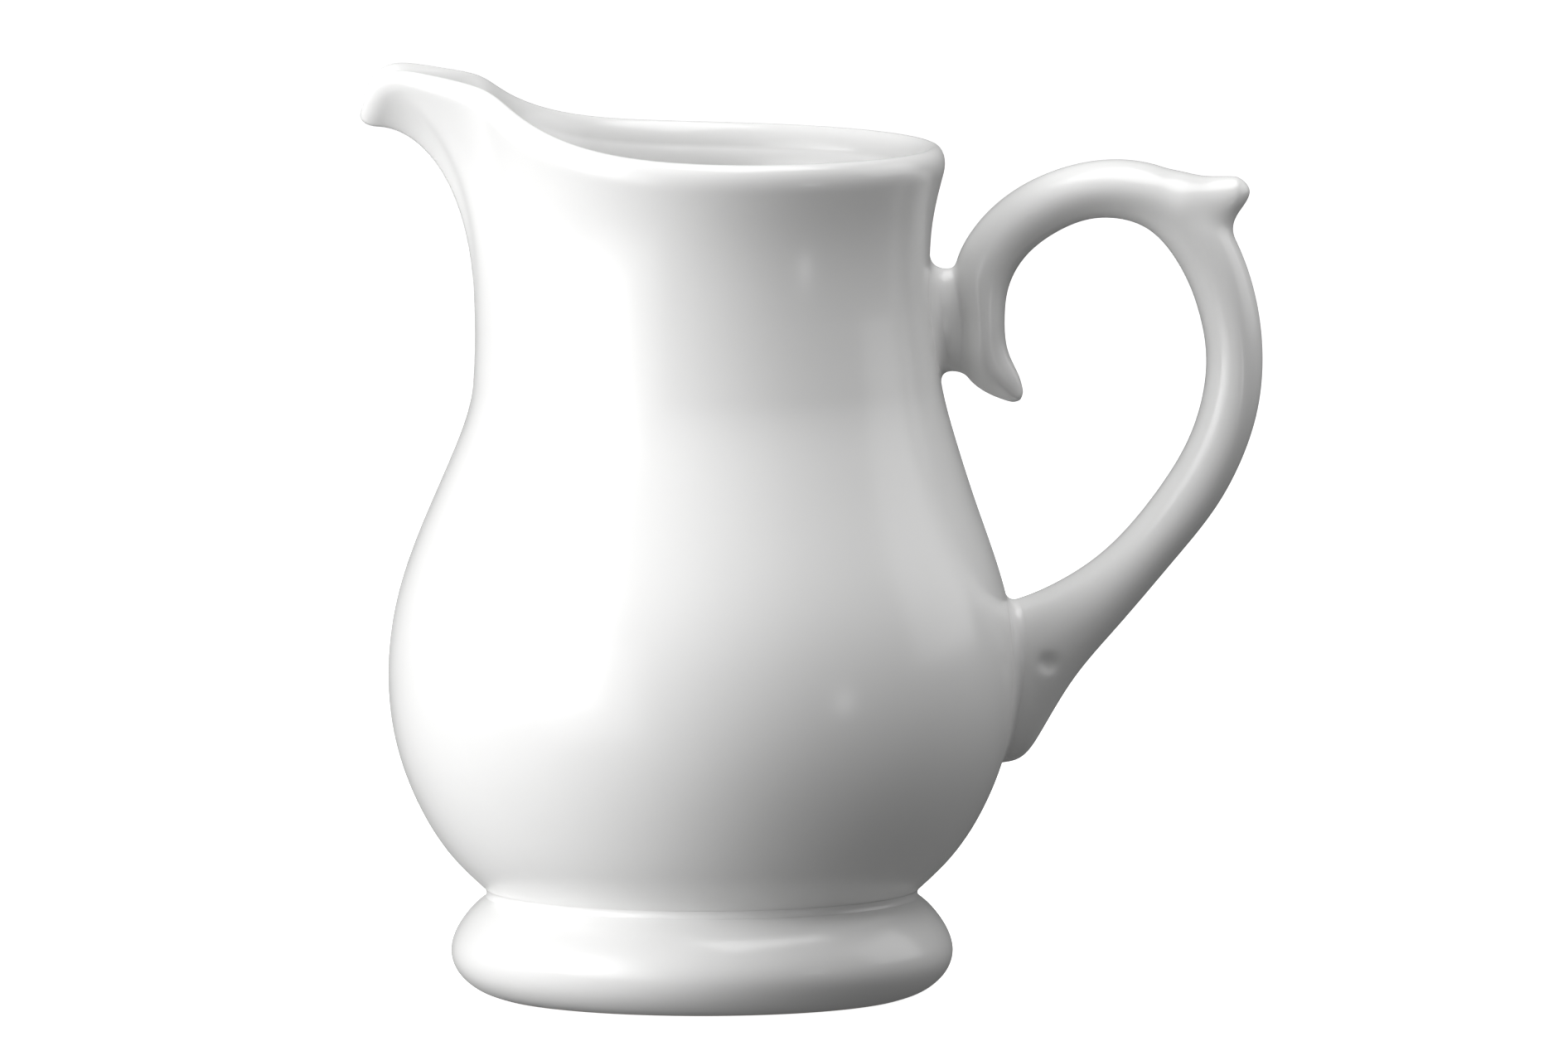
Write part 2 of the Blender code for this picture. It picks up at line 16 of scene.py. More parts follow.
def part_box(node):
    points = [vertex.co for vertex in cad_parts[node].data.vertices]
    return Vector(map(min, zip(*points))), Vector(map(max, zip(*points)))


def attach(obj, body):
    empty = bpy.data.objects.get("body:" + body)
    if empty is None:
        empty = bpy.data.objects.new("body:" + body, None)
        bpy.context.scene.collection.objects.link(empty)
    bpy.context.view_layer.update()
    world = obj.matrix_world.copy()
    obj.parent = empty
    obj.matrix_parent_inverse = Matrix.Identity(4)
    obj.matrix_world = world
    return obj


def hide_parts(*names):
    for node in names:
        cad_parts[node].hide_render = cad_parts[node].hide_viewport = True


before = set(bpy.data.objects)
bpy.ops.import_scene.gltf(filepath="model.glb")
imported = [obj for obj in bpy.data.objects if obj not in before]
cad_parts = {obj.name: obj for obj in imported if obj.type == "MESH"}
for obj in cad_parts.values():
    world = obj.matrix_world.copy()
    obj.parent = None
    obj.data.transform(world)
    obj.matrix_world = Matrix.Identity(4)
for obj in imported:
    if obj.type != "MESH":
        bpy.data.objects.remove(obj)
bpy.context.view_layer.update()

MM = 0.001

# ---- dimensions, millimetres ------------------------------------------------------------------

WALL = 3.9                  # wall of the body
SPOUT_WALL_LOSS = 1.1       # the wall thins by this much in the spout
SPOUT_WALL_ANGLE = math.radians(26)
FLUSH = 0.03                # hairline left between pieces that are fused on the jug

# Outer side of the bowl and neck: (height, radius).
WAIST_HEIGHT = 16.8
WAIST_RADIUS = 34.6
NECK_HEIGHT = 106.0
BOWL_PROFILE = (
    (WAIST_HEIGHT, WAIST_RADIUS),
    (21.2, 39.2),
    (29.5, 45.0),
    (40.5, 49.2),
    (52.0, 50.5),
    (65.0, 48.8),
    (80.0, 43.6),
    (88.0, 40.6),
    (96.0, 38.15),
    (NECK_HEIGHT, 36.95),
)
NECK_LEAN = 0.95            # the neck stands this far towards the handle
NECK_LEAN_HEIGHT = 95.0
NECK_LEAN_SPREAD = 14.0

# Lip: radius and height of its outer side, away from the spout and at the spout.
LIP_OUTER_RADIUS = 39.4
LIP_HEIGHT = 135.1
LIP_RISE_AT_HANDLE = -0.5
LIP_ROLL = 1.0              # the lip rounds over within this height, as a share of the wall
LIP_CREST = 0.62            # its crest stands this share of the wall in from the outside
LIP_LEAN = math.radians(15)
SPOUT_RADIUS = 53.7
SPOUT_WIDTH_ANGLE = math.radians(14.2)
SPOUT_BLUNTNESS = 2.7
SPOUT_RISE = 14.4
SPOUT_RISE_ANGLE = math.radians(40)
SPOUT_RISE_POWER = 1.8
SPOUT_DIP = 9.0
SPOUT_DIP_ANGLE = math.radians(5.5)
SPOUT_LEAN = math.radians(73)
SPOUT_LEAN_ANGLE = math.radians(9)
WALL_CURVE_START = 0.58
SPOUT_CURVE_START = 0.66    # the wall stays upright for longer under the spout
NECK_TAPER = -0.06
WALL_CURVE_END = 9.5

# Underside and floor of the bowl.
UNDERSIDE_HEIGHT = 12.5
UNDERSIDE_EDGE_RADIUS = 33.8
UNDERSIDE_RISE = 3.7
FLOOR_HEIGHT = 16.6
FLOOR_FLAT_RADIUS = 25.0
FLOOR_WALL_ROW = 0.075      # row of the outer wall above which the inside follows the wall
FLOOR_WALL_RUN = 9.0

# Foot ring: (radius, height) down its outer side, then up its inner side.
FOOT_OUTER_PROFILE = (
    (34.5, 16.0),
    (36.2, 14.7),
    (37.8, 13.0),
    (39.6, 10.2),
    (40.4, 6.9),
    (39.6, 4.2),
    (38.0, 2.3),
    (35.6, 0.75),
    (33.4, 0.0),
)
STANDING_RING_INNER_RADIUS = 31.6
FOOT_INNER_PROFILE = (
    (STANDING_RING_INNER_RADIUS, 0.0),
    (31.0, 0.8),
    (30.5, 5.0),
    (30.0, 10.0),
    (29.6, 14.44),
)
BARE_RING_HEIGHT = 0.3      # the glaze is wiped off below this height
FOOT_SLIP_LEG = 0.45        # how far the slip in the crease runs down the foot
FOOT_SLIP_CLIMB = 0.62      # and up the bowl, as a share of that
FOOT_SLIP_CREASE = (34.55, 16.45)   # radius and height the fillet is drawn towards
FOOT_FILM_INNER_RADIUS = 28.7       # the film of slip under the bowl reaches in to here

# Handle, seen from the side: (x, z) on the inner edge, (x, z) on the outer edge, half width in Y.
HANDLE_STATIONS = (
    ((51.9, 96.4), (50.7, 95.1), 1.2),
    ((51.2, 99.4), (46.3, 96.7), 2.6),
    ((49.5, 103.2), (42.2, 100.4), 4.0),
    ((48.8, 108.6), (41.4, 108.0), 4.8),
    ((49.5, 114.2), (40.7, 116.5), 5.1),
    ((52.4, 119.2), (44.2, 124.0), 5.3),
    ((58.4, 123.5), (52.2, 130.7), 5.5),
    ((65.6, 125.1), (65.8, 134.5), 5.8),
    ((72.2, 123.0), (77.4, 131.8), 6.1),
    ((77.1, 117.1), (84.9, 123.6), 6.0),
    ((80.2, 109.4), (89.4, 111.6), 5.6),
    ((81.3, 101.6), (90.4, 101.4), 5.3),
    ((79.6, 92.2), (88.8, 90.8), 5.2),
    ((75.2, 83.5), (83.9, 79.8), 5.1),
    ((68.0, 74.3), (76.6, 70.2), 5.1),
    ((59.2, 67.3), (66.6, 58.5), 5.3),
    ((51.6, 63.8), (59.5, 49.9), 5.4),
    ((46.0, 60.6), (54.7, 42.0), 4.8),
    ((43.5, 52.0), (50.9, 37.6), 3.2),
    ((42.8, 44.0), (46.0, 37.0), 1.6),
)
RIDGE_AT = 0.5              # share of the handle's length where the ridge down its back is sharpest
RIDGE_SPREAD = 0.06
RIDGE_PINCH = 0.3           # how much narrower the back edge is there
HOOK_PINCH = 0.5            # and behind the hook
HOOK_SPREAD = 0.12

# Lug that bridges the scroll to the neck: (x, centre z, half height, half width).
LUG_STATIONS = (
    (45.4, 109.4, 11.0, 1.2),
    (42.4, 109.1, 9.1, 1.6),
    (40.6, 108.8, 8.4, 3.2),
    (38.5, 108.8, 8.3, 4.3),
    (33.0, 108.8, 8.9, 5.2),
)
# Thumb spur on top of the arch: (x, z, half height, half width).
SPUR_STATIONS = (
    (74.0, 126.8, 4.8, 4.8),
    (79.5, 128.1, 3.6, 4.4),
    (84.3, 127.7, 4.0, 3.6),
    (86.6, 128.7, 2.9, 2.8),
    (88.3, 129.2, 2.1, 2.1),
)
SPUR_ROUNDING = (0.3, 0.18)         # shares of the spur's length over which its ends round off
LUG_ROUNDING = (0.3, 0.12)
SCROLL_ROUNDING = (0.0065, 0.01)
SPUR_BLEND = 3.0            # width of the soft corner between the spur and the arch
LUG_BLEND = 0.9             # and between the lug and the scroll

DIMPLE_X = 55.6
DIMPLE_Z = 53.6
DIMPLE_RADIUS = 1.5
DIMPLE_DEPTH = 0.5

# Legs of the slip beads at the top edge, sides and bottom edge of the lug and the tail.
TOP_SLIP_LEGS = (2.6, 2.8, 2.4)
TAIL_SLIP_LEGS = (2.0, 3.3, 0.6)
SLIP_SINK = 0.02            # the slip's edges run out this far below the glaze they meet

# ---- mesh density -----------------------------------------------------------------------------

BODY_COLUMNS = 240
SPOUT_CROWDING = 0.5        # how much closer the columns stand at the spout
BOWL_ROWS = 80
NECK_ROWS = 56
LIP_ROWS = 16
FLOOR_ROWS = 26
FOOT_SEGMENTS = 224
FOOT_OUTER_POINTS = 44
FOOT_INNER_POINTS = 22
SCROLL_SECTIONS = 640
SPUR_SECTIONS = 120
LUG_SECTIONS = 80
SWEEP_SIDES = 160
HANDLE_VOXEL = 0.36
BEAD_COLUMNS = 200
BEAD_ARC_POINTS = 12
SHARP_ANGLE = math.radians(50)
SMALL_TURN = 1e-4           # step of angle or row over which directions on the wall are measured

# ---- curves -----------------------------------------------------------------------------------


class Curve:
    """Natural cubic spline through rows of values at rising knots; takes numbers or arrays."""

    def __init__(self, knots, values):
        self.knots = np.asarray(knots, float)
        self.values = np.asarray(values, float)
        self.step = np.diff(self.knots)
        count = len(self.knots)
        matrix = np.eye(count)
        right = np.zeros(self.values.shape)
        slope = (np.diff(self.values, axis=0).T / self.step).T
        for i in range(1, count - 1):
            matrix[i, i - 1] = self.step[i - 1]
            matrix[i, i] = 2 * (self.step[i - 1] + self.step[i])
            matrix[i, i + 1] = self.step[i]
            right[i] = 6 * (slope[i] - slope[i - 1])
        self.bend = np.linalg.solve(matrix, right)

    def __call__(self, at):
        at = np.clip(np.asarray(at, float), self.knots[0], self.knots[-1])
        i = np.clip(np.searchsorted(self.knots, at) - 1, 0, len(self.step) - 1)
        step = self.step[i]
        left = (self.knots[i + 1] - at) / step
        if self.values.ndim > 1:
            step = step[..., None]
            left = left[..., None]
        rest = 1 - left
        straight = left * self.values[i] + rest * self.values[i + 1]
        bow = (left ** 3 - left) * self.bend[i] + (rest ** 3 - rest) * self.bend[i + 1]
        return straight + bow * step ** 2 / 6


def curve_through(rows, place=slice(0, 2)):
    """Curve through rows of numbers, spaced by the distance between the points at place."""
    rows = np.array(rows, float)
    lengths = np.linalg.norm(np.diff(rows[:, place], axis=0), axis=1)
    running = np.concatenate(([0.0], np.cumsum(lengths)))
    return Curve(running / running[-1], rows)


def bell(offset, spread, power=2.0):
    """1 at offset 0, falling smoothly to 0 beyond the spread."""
    return np.exp(-(np.abs(offset) / spread) ** power)


def unit(vectors):
    """The vectors, each scaled to length 1."""
    return vectors / np.linalg.norm(vectors, axis=-1, keepdims=True)


def dot(a, b):
    """Dot product of rows of vectors, kept as a column."""
    return np.sum(a * b, axis=-1, keepdims=True)


def bezier(start, control, end, count):
    """Points along a quadratic curve, for each row of start, control and end."""
    points = []
    for share in np.linspace(0, 1, count):
        rest = 1 - share
        points.append(rest ** 2 * start + 2 * rest * share * control + share ** 2 * end)
    return points


BOWL_CURVE = Curve(*zip(*BOWL_PROFILE))
FOOT_OUTER_CURVE = curve_through(FOOT_OUTER_PROFILE)
FOOT_INNER_CURVE = curve_through(FOOT_INNER_PROFILE)
HANDLE_ROWS = [(*inner, *outer, half_width) for inner, outer, half_width in HANDLE_STATIONS]
HANDLE_CURVE = curve_through(HANDLE_ROWS, slice(0, 4))
LUG_CURVE = curve_through(LUG_STATIONS)
SPUR_CURVE = curve_through(SPUR_STATIONS)

# ---- body surface -----------------------------------------------------------------------------


def wrapped(angle):
    """The angle between -180 and 180 degrees."""
    return (angle + math.pi) % (2 * math.pi) - math.pi


def neck_lean(height):
    """How far the section's centre stands towards the handle at a height."""
    return NECK_LEAN * bell(height - NECK_LEAN_HEIGHT, NECK_LEAN_SPREAD)


def lip_edge(angle):
    """Radius and height of the lip's outer side at an angle from the spout."""
    spout = bell(angle, SPOUT_WIDTH_ANGLE, SPOUT_BLUNTNESS)
    radius = LIP_OUTER_RADIUS + (SPOUT_RADIUS - LIP_OUTER_RADIUS) * spout
    height = LIP_HEIGHT + LIP_RISE_AT_HANDLE * (1 - np.cos(angle)) / 2
    height = height + SPOUT_RISE * bell(angle, SPOUT_RISE_ANGLE, SPOUT_RISE_POWER)
    height = height - SPOUT_DIP * bell(angle, SPOUT_DIP_ANGLE)
    return radius, height


def neck_profile(angle, share):
    """Radius and height on the outer wall, from the top of the neck (0) to the lip's side (1)."""
    start_radius = float(BOWL_CURVE(NECK_HEIGHT))
    edge_radius, edge_height = lip_edge(angle)
    lean = LIP_LEAN + SPOUT_LEAN * bell(angle, SPOUT_LEAN_ANGLE)
    setback = (LIP_ROLL - 0.5) * wall_thickness(angle, 2.0)
    end_radius = edge_radius - setback * np.sin(lean)
    end_height = edge_height - setback * np.cos(lean)
    start_share = WALL_CURVE_START
    start_share = start_share + (SPOUT_CURVE_START - start_share) * bell(angle, SPOUT_RISE_ANGLE)
    first_run = start_share * (end_height - NECK_HEIGHT)
    first = (start_radius + first_run * NECK_TAPER, NECK_HEIGHT + first_run)
    last = (edge_radius - WALL_CURVE_END * np.sin(lean), edge_height - WALL_CURVE_END * np.cos(lean))
    rest = 1 - share
    shares = (rest ** 3, 3 * rest ** 2 * share, 3 * rest * share ** 2, share ** 3)
    radius = shares[0] * start_radius + shares[1] * first[0] + shares[2] * last[0]
    height = shares[0] * NECK_HEIGHT + shares[1] * first[1] + shares[2] * last[1]
    return radius + shares[3] * end_radius, height + shares[3] * end_height


def outer_point(angle, row):
    """Points on the outer wall: row 0 to 1 covers the bowl, 1 to 2 the neck and the spout."""
    angle, row = np.broadcast_arrays(angle, row)
    angle = wrapped(angle)
    bowl_height = WAIST_HEIGHT + np.clip(row, 0, 1) * (NECK_HEIGHT - WAIST_HEIGHT)
    neck_radius, neck_height = neck_profile(angle, np.clip(row - 1, 0, 1))
    radius = np.where(row <= 1, BOWL_CURVE(bowl_height), neck_radius)
    height = np.where(row <= 1, bowl_height, neck_height)
    x = neck_lean(height) - radius * np.cos(angle)
    return np.stack((x, -radius * np.sin(angle), height), axis=-1)


def outer_frame(angle, row):
    """Points on the outer wall, outward normals and directions up the wall."""
    point = outer_point(angle, row)
    around = outer_point(angle + SMALL_TURN, row) - outer_point(angle - SMALL_TURN, row)
    low = np.maximum(row - SMALL_TURN, 0.0)
    high = np.minimum(row + SMALL_TURN, 2.0)
    up = unit(outer_point(angle, high) - outer_point(angle, low))
    return point, unit(np.cross(around, up)), up


def wall_thickness(angle, row):
    """The wall, a little thinner in the spout."""
    climb = np.clip(row - 1, 0, 1)
    climb = climb * climb * (3 - 2 * climb)
    return WALL - SPOUT_WALL_LOSS * bell(wrapped(angle), SPOUT_WALL_ANGLE) * climb


def underside_height(radius):
    """Height of the bowl's underside at a radius."""
    return UNDERSIDE_HEIGHT + UNDERSIDE_RISE * (radius / UNDERSIDE_EDGE_RADIUS) ** 2


WALL_SAMPLES = 801
HANDLE_SIDE_WALL = outer_point(np.pi, np.linspace(0, 2, WALL_SAMPLES))
SLOPE_STEP = 1e-2           # millimetres over which the slope of the clearance is measured


def body_clearance(points):
    """Level distance of points outside the outer wall, away from the spout."""
    height = points[..., 2]
    reach = HANDLE_SIDE_WALL[:, 0] - neck_lean(HANDLE_SIDE_WALL[:, 2])
    radius = np.interp(height, HANDLE_SIDE_WALL[:, 2], reach)
    return np.hypot(points[..., 0] - neck_lean(height), points[..., 1]) - radius


def body_normal(points):
    """Outward normals of the outer wall nearest to points."""
    slopes = []
    for axis in np.eye(3) * SLOPE_STEP:
        slopes.append(body_clearance(points + axis) - body_clearance(points - axis))
    return unit(np.stack(slopes, axis=-1))


# ---- handle surface ---------------------------------------------------------------------------

BLUNT_END = 0.0005          # share of a rounded end that is left flat, so that no ring is a point


def rounded_ends(along, shares):
    """Share of its full width that a sweep has at a place, where its two ends round off."""
    start = 1 - np.clip(along / shares[0], BLUNT_END, 1)
    end = 1 - np.clip((1 - along) / shares[1], BLUNT_END, 1)
    return np.sqrt((1 - start ** 2) * (1 - end ** 2))


def handle_surface(turn, along):
    """Points on the scroll: along runs hook to tail, turn goes around, 0 on the inner edge."""
    turn, along = np.broadcast_arrays(turn, along)
    inner_x, inner_z, outer_x, outer_z, half_width = np.moveaxis(HANDLE_CURVE(along), -1, 0)
    tip = rounded_ends(along, SCROLL_ROUNDING)
    reach = np.cos(turn) / 2 * tip
    pinch = RIDGE_PINCH * bell(along - RIDGE_AT, RIDGE_SPREAD)
    pinch = pinch + HOOK_PINCH * bell(along, HOOK_SPREAD)
    ridge = pinch * np.maximum(-np.cos(turn), 0) ** 2
    x = (inner_x + outer_x) / 2 + (inner_x - outer_x) * reach
    z = (inner_z + outer_z) / 2 + (inner_z - outer_z) * reach
    return np.stack((x, half_width * np.sin(turn) * tip * (1 - ridge), z), axis=-1)


def arm_surface(curve, turn, along, rounding):
    """Points on an arm of upright oval sections along a curve, turn 0 on its top."""
    turn, along = np.broadcast_arrays(turn, along)
    x, height, half_height, half_width = np.moveaxis(curve(along), -1, 0)
    tip = rounded_ends(along, rounding)
    side = half_width * np.sin(turn) * tip
    return np.stack((x, side, height + half_height * np.cos(turn) * tip), axis=-1)


def lug_surface(turn, along):
    """Points on the lug: along runs from the scroll to the neck."""
    return arm_surface(LUG_CURVE, turn, along, LUG_ROUNDING)


def spur_surface(turn, along):
    """Points on the thumb spur: along runs from the arch to its tip."""
    return arm_surface(SPUR_CURVE, turn, along, SPUR_ROUNDING)


# ---- meshes -----------------------------------------------------------------------------------

FOOT_LOW, FOOT_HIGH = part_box("foot")
JUG_ORIGIN = np.array(((FOOT_LOW.x + FOOT_HIGH.x) / 2, (FOOT_LOW.y + FOOT_HIGH.y) / 2, FOOT_LOW.z))


def placed(points):
    """Jug millimetres turned into the frame's metres."""
    return np.asarray(points, float).reshape(-1, 3) * MM + JUG_ORIGIN


def ring_faces(count, size, wrap=False):
    """Quads between neighbouring rings of points, and back to the first ring if they wrap."""
    ring = np.arange(count if wrap else count - 1)[:, None]
    i = np.arange(size)[None, :]
    j = (i + 1) % size
    above = (ring + 1) % count
    quads = np.stack((ring * size + i, ring * size + j, above * size + j, above * size + i), axis=-1)
    return [tuple(quad) for quad in quads.reshape(-1, 4).tolist()]


def closed_rings(rings, first_tip, last_tip):
    """Points and faces of a skin over the rings, closed to a tip point at either end."""
    rings = np.asarray(rings)
    count, size = rings.shape[:2]
    points = np.concatenate((rings.reshape(-1, 3), [first_tip, last_tip]))
    faces = ring_faces(count, size)
    first = count * size
    top = (count - 1) * size
    for i in range(size):
        j = (i + 1) % size
        faces.append((first, j, i))
        faces.append((first + 1, top + i, top + j))
    return points, faces


def tidy_mesh(mesh):
    """Faces turned outwards, smooth shaded, sharp only at real corners."""
    tidy = bmesh.new()
    tidy.from_mesh(mesh)
    bmesh.ops.recalc_face_normals(tidy, faces=tidy.faces)
    tidy.to_mesh(mesh)
    tidy.free()
    mesh.shade_smooth()
    mesh.set_sharp_from_angle(angle=SHARP_ANGLE)


def new_piece(name, points, faces, *materials):
    """A new object from millimetre points, set in its place in the frame."""
    mesh = bpy.data.meshes.new(name)
    mesh.from_pydata(placed(points).tolist(), [], faces)
    tidy_mesh(mesh)
    for material in materials:
        mesh.materials.append(material)
    piece = bpy.data.objects.new(name, mesh)
    bpy.context.scene.collection.objects.link(piece)
    return piece


def stand_for(piece, node):
    """The piece rides on the one body and takes the CAD node's place."""
    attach(piece, "root")
    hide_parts(node)


def turned_points(profile, segments):
    """Points of a solid of revolution about the vessel's axis, one profile for each segment."""
    profile = np.asarray(profile, float)
    angle = np.linspace(0, 2 * math.pi, segments, endpoint=False)[:, None]
    x = profile[:, 0] * np.cos(angle)
    y = profile[:, 0] * np.sin(angle)
    return np.stack((x, y, np.broadcast_to(profile[:, 1], x.shape)), axis=-1)


# ---- materials --------------------------------------------------------------------------------

NOISE_LOW = 0.3             # nearly all of a noise texture's values lie between these
NOISE_HIGH = 0.7
# Noise textures: grains in a metre, detail.
CLOUD_NOISE = (38.0, 3.0)
GLOSS_NOISE = (90.0, 2.0)
WAVE_NOISE = (55.0, 1.0)
PEEL_NOISE = (620.0, 2.0)
SOIL_NOISE = (160.0, 4.0)
BARE_NOISE = (300.0, 2.0)
GRAIN_NOISE = (2600.0, 4.0)
# Bumps: strength, depth in metres.
WAVE_BUMP = (0.35, 0.00012)
PEEL_BUMP = (0.12, 0.00004)
GRAIN_BUMP = (0.6, 0.00008)
GLAZE_TONES = ((0.855, 0.855, 0.85), (0.885, 0.885, 0.88))
GLAZE_ROUGHNESS = (0.19, 0.24)
GLAZE_IOR = 1.5
BARE_TONES = ((0.80, 0.78, 0.74), (0.68, 0.66, 0.62))
BARE_ROUGHNESS = (0.7, 0.9)


class NodeTree:
    """Short ways to add and join the nodes of one material or world."""

    def __init__(self, owner):
        owner.use_nodes = True
        self.tree = owner.node_tree
        self.nodes = self.tree.nodes

    def add(self, kind, **values):
        """A new node with its properties set; keys that name sockets set those instead."""
        node = self.nodes.new(kind)
        for key, value in values.items():
            name = key.replace("_", " ")
            if name in node.inputs:
                node.inputs[name].default_value = value
            else:
                setattr(node, key, value)
        return node

    def join(self, output, target):
        """Links an output to a socket."""
        self.tree.links.new(output, target)

    def noise(self, place, scale, detail):
        """Smooth noise between 0 and 1."""
        texture = self.add("ShaderNodeTexNoise", Scale=scale, Detail=detail)
        self.join(place, texture.inputs["Vector"])
        return texture.outputs["Fac"]

    def spread(self, value, low, high):
        """Noise stretched to run from low to high."""
        spread = self.add("ShaderNodeMapRange", From_Min=NOISE_LOW, From_Max=NOISE_HIGH,
                          To_Min=low, To_Max=high)
        self.join(value, spread.inputs["Value"])
        return spread.outputs["Result"]

    def blend(self, factor, low_colour, high_colour):
        """Colour that runs from one to another with the factor."""
        blend = self.add("ShaderNodeMix", data_type="RGBA")
        colours = [socket for socket in blend.inputs if socket.type == "RGBA"]
        colours[0].default_value = (*low_colour, 1)
        colours[1].default_value = (*high_colour, 1)
        self.join(factor, blend.inputs["Factor"])
        return next(socket for socket in blend.outputs if socket.type == "RGBA")

    def bump(self, height, strength, distance, below=None):
        """Normal bent by a height, in metres of the given distance."""
        bump = self.add("ShaderNodeBump", Strength=strength, Distance=distance)
        self.join(height, bump.inputs["Height"])
        if below is not None:
            self.join(below, bump.inputs["Normal"])
        return bump.outputs["Normal"]


def glaze_material(name):
    """Fired gloss glaze: clouded tone, slow waves, faint orange peel and uneven gloss."""
    material = bpy.data.materials.new(name)
    net = NodeTree(material)
    shader = net.nodes["Principled BSDF"]
    place = net.add("ShaderNodeTexCoord").outputs["Object"]
    tone = net.blend(net.noise(place, *CLOUD_NOISE), *GLAZE_TONES)
    net.join(tone, shader.inputs["Base Color"])
    gloss = net.spread(net.noise(place, *GLOSS_NOISE), *GLAZE_ROUGHNESS)
    net.join(gloss, shader.inputs["Roughness"])
    waves = net.bump(net.noise(place, *WAVE_NOISE), *WAVE_BUMP)
    peel = net.bump(net.noise(place, *PEEL_NOISE), *PEEL_BUMP, waves)
    net.join(peel, shader.inputs["Normal"])
    shader.inputs["IOR"].default_value = GLAZE_IOR
    shader.inputs["Metallic"].default_value = 0.0
    return material


def bare_china_material():
    """Unglazed china of the standing ring: matte, grainy, a little soiled."""
    material = bpy.data.materials.new("bare_china")
    net = NodeTree(material)
    shader = net.nodes["Principled BSDF"]
    place = net.add("ShaderNodeTexCoord").outputs["Object"]
    soil = net.spread(net.noise(place, *SOIL_NOISE), 0.0, 1.0)
    net.join(net.blend(soil, *BARE_TONES), shader.inputs["Base Color"])
    rough = net.spread(net.noise(place, *BARE_NOISE), *BARE_ROUGHNESS)
    net.join(rough, shader.inputs["Roughness"])
    grain = net.bump(net.noise(place, *GRAIN_NOISE), *GRAIN_BUMP)
    net.join(grain, shader.inputs["Normal"])
    return material


# ---- body -------------------------------------------------------------------------------------

SOFTEN_FACTOR = 0.5         # how far a ring moves towards the middle of its neighbours at a time
NECK_SOFT_ROWS = (BOWL_ROWS - 6, BOWL_ROWS + 7)     # rows where the bowl runs into the neck
NECK_SOFT_ROUNDS = 30
SPOUT_SOFT_ROWS = 30
SPOUT_SOFT_HOLD = 0.2       # the softening is full over this share of the rows, then fades
SPOUT_SOFT_ROUNDS = 40


def column_angles(count):
    """Angles from the spout for the body's columns, crowded towards the spout."""
    even = np.linspace(0, 2 * math.pi, count, endpoint=False)
    return even - SPOUT_CROWDING * np.sin(even)


def level_ring(angles, radius, height):
    """One level round ring of points."""
    return np.stack((-radius * np.cos(angles), -radius * np.sin(angles),
                     np.full_like(angles, height)), axis=-1)


def floor_profile(wall_start, wall_up):
    """(radius, height) along the inside floor, from the wall to near the axis."""
    end = np.array((np.hypot(wall_start[0], wall_start[1]), wall_start[2]))
    level = math.hypot(wall_up[0], wall_up[1])
    direction = np.array((level, wall_up[2]))
    start = np.array((0.0, FLOOR_HEIGHT))
    first = np.array((FLOOR_FLAT_RADIUS, FLOOR_HEIGHT))
    last = end - FLOOR_WALL_RUN * direction
    points = []
    for share in np.linspace(1, 0, FLOOR_ROWS + 1)[1:-1]:
        rest = 1 - share
        curve = rest ** 3 * start + 3 * rest ** 2 * share * first
        points.append(curve + 3 * rest * share ** 2 * last + share ** 3 * end)
    return points


def soften_rings(rings, first, last, rounds):
    """Evens out the rings from first to last along the wall, to take out faint breaks in curve."""
    for _ in range(rounds):
        middle = (rings[first - 1:last - 1] + rings[first + 1:last + 1]) / 2
        rings[first:last] += SOFTEN_FACTOR * (middle - rings[first:last])


def make_body():
    """Bowl, neck, lip and spout in one skin, from the underside over the lip to the floor."""
    angles = column_angles(BODY_COLUMNS)
    rings = []
    for radius in np.linspace(0, UNDERSIDE_EDGE_RADIUS, FLOOR_ROWS)[1:]:
        rings.append(level_ring(angles, radius, underside_height(radius)))
    bowl_rows = np.linspace(0, 1, BOWL_ROWS, endpoint=False)
    neck_rows = np.linspace(1, 2, NECK_ROWS + 1)
    rows = np.concatenate((bowl_rows, neck_rows))
    outside = np.array([outer_point(angles, row) for row in rows])
    soften_rings(outside, *NECK_SOFT_ROWS, NECK_SOFT_ROUNDS)
    rings += list(outside)
    rings += lip_rings(angles)
    wall_rows = rows[rows > FLOOR_WALL_ROW]
    inside = np.array([inner_ring(angles, row) for row in wall_rows[::-1][1:]])
    soften_inside(inside)
    rings += list(inside)
    _, _, wall_up = outer_frame(np.pi, wall_rows[0])
    for radius, height in floor_profile(inside[-1][0], wall_up):
        rings.append(level_ring(angles, radius, height))
    points, faces = closed_rings(rings, (0, 0, UNDERSIDE_HEIGHT), (0, 0, FLOOR_HEIGHT))
    piece = new_piece("body_china", points, faces, glaze_material("body_glaze"))
    stand_for(piece, "body")


def inner_ring(angles, row):
    """Ring of points on the inside of the wall."""
    point, normal, _ = outer_frame(angles, row)
    return point - wall_thickness(angles, row)[..., None] * normal


def soften_inside(rings):
    """Rounds the bottom of the spout's channel, where the offset wall folds tight."""
    depth = np.arange(len(rings))[:, None, None]
    fade = np.clip(1 + SPOUT_SOFT_HOLD - depth / SPOUT_SOFT_ROWS, 0, 1)
    pull = SOFTEN_FACTOR * fade * (depth > 0)
    for _ in range(SPOUT_SOFT_ROUNDS):
        around = (np.roll(rings, 1, axis=1) + np.roll(rings, -1, axis=1)) / 2
        rings += pull * (around - rings)
        soften_rings(rings, 1, SPOUT_SOFT_ROWS, 1)


